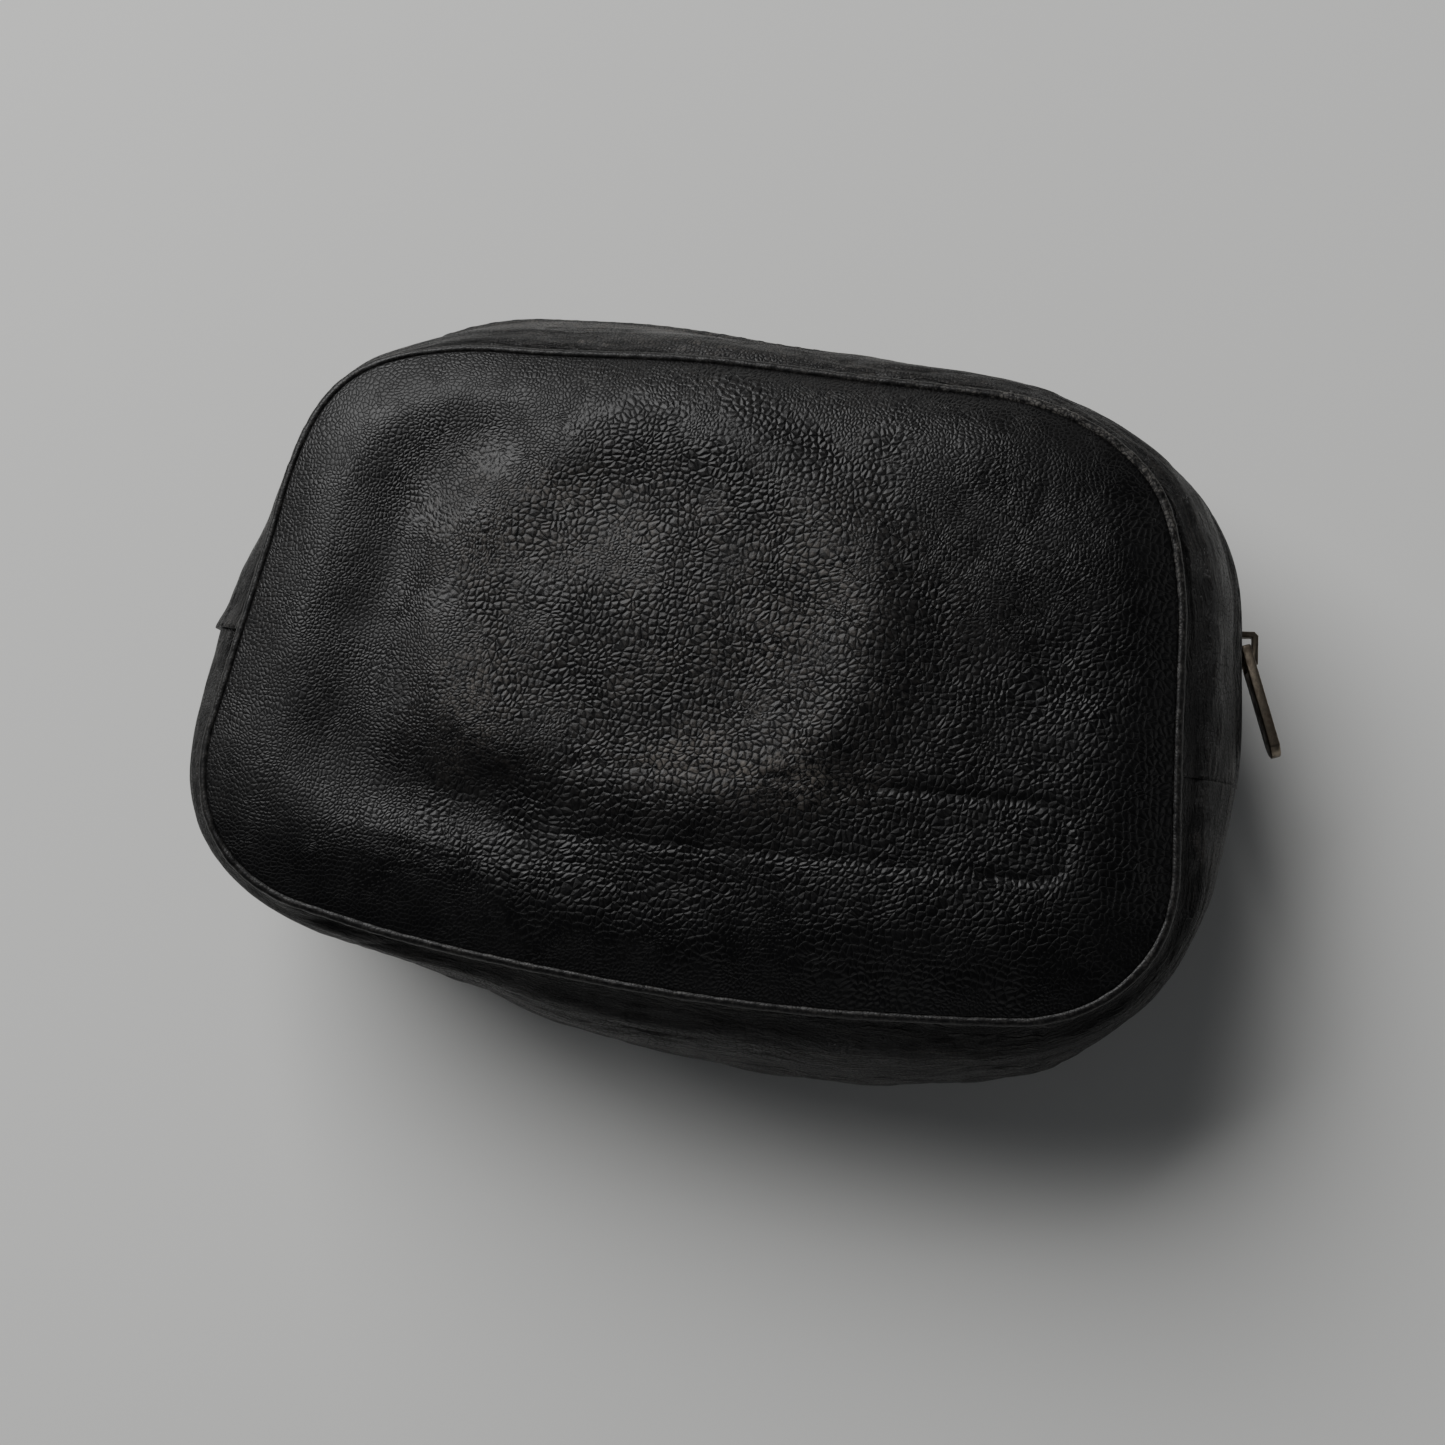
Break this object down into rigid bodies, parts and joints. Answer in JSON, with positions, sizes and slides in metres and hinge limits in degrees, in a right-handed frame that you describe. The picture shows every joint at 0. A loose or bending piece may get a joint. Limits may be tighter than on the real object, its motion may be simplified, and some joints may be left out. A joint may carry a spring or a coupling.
{
  "type": "camera pouch",
  "caption": "Soft padded leather camera pouch with piped seams and a bulging gusset, a zip round its top, a metal slider with a swinging pull, and a front that opens on a fold.",
  "frame": {"origin": "middle of the flat of the back panel, on the surface that the bag lies on", "axes": "+X along the bag towards the side where the closed zip's slider is, +Y towards the zipped top edge, +Z out of the front panel"},
  "size_m": [0.1627, 0.1098, 0.0544],
  "materials": {
    "leather": "worn black pebbled leather, satin",
    "piping_leather": "thin black leather folded over a cord, semi-gloss",
    "lining_cloth": "brushed dark grey knit",
    "foam": "open-cell foam sheet",
    "cord": "twisted cotton filler cord",
    "zip_tape": "black woven herringbone tape",
    "binding_tape": "black woven grosgrain binding",
    "zip_metal": "antique nickel over brass, worn bright on its edges"
  },
  "bodies": {
    "case": {"back_panel": "leather", "back_padding": "foam", "back_lining": "lining_cloth", "back_piping": "piping_leather", "back_piping_cord": "cord", "back_seam_binding": "binding_tape", "back_zip_strip": "leather", "back_strip_lining": "lining_cloth", "back_zip_tape": "zip_tape", "back_zip_teeth": "zip_metal", "back_top_stop": "zip_metal", "bottom_stop": "zip_metal", "lower_gusset": "leather", "lower_gusset_lining": "lining_cloth", "front_panel_lower": "leather", "front_padding_lower": "foam", "front_lining_lower": "lining_cloth", "front_piping_lower": "piping_leather", "front_piping_cord_lower": "cord", "front_seam_binding_lower": "binding_tape"},
    "flap": {"front_panel_upper": "leather", "front_padding_upper": "foam", "front_lining_upper": "lining_cloth", "front_piping_upper": "piping_leather", "front_piping_cord_upper": "cord", "front_seam_binding_upper": "binding_tape", "front_zip_strip": "leather", "front_strip_lining": "lining_cloth", "front_zip_tape": "zip_tape", "front_zip_teeth": "zip_metal", "front_top_stop": "zip_metal"},
    "slider": {"slider_body": "zip_metal"},
    "pull": {"pull_tab": "zip_metal"}
  },
  "joints": [
    {"name": "flap_open", "type": "hinge", "parent": "case", "child": "flap", "pos_m": [0, -0.004, 0.0558], "axis": [1, 0, 0], "range_deg": [0, 70], "deforming": ["front_zip_teeth", "front_zip_tape", "front_top_stop"]},
    {"name": "slider_travel", "type": "hinge", "parent": "case", "child": "slider", "pos_m": [0.03357, 0.0121, 0.026], "axis": [0, 0, 1], "range_deg": [0, 75], "deforming": ["front_zip_teeth", "back_zip_teeth", "front_zip_tape", "front_top_stop"]},
    {"name": "pull_swing", "type": "hinge", "parent": "slider", "child": "pull", "pos_m": [0.07659, 0.01788, 0.026], "axis": [0, 0, 1], "range_deg": [-13, 140]}
  ]
}
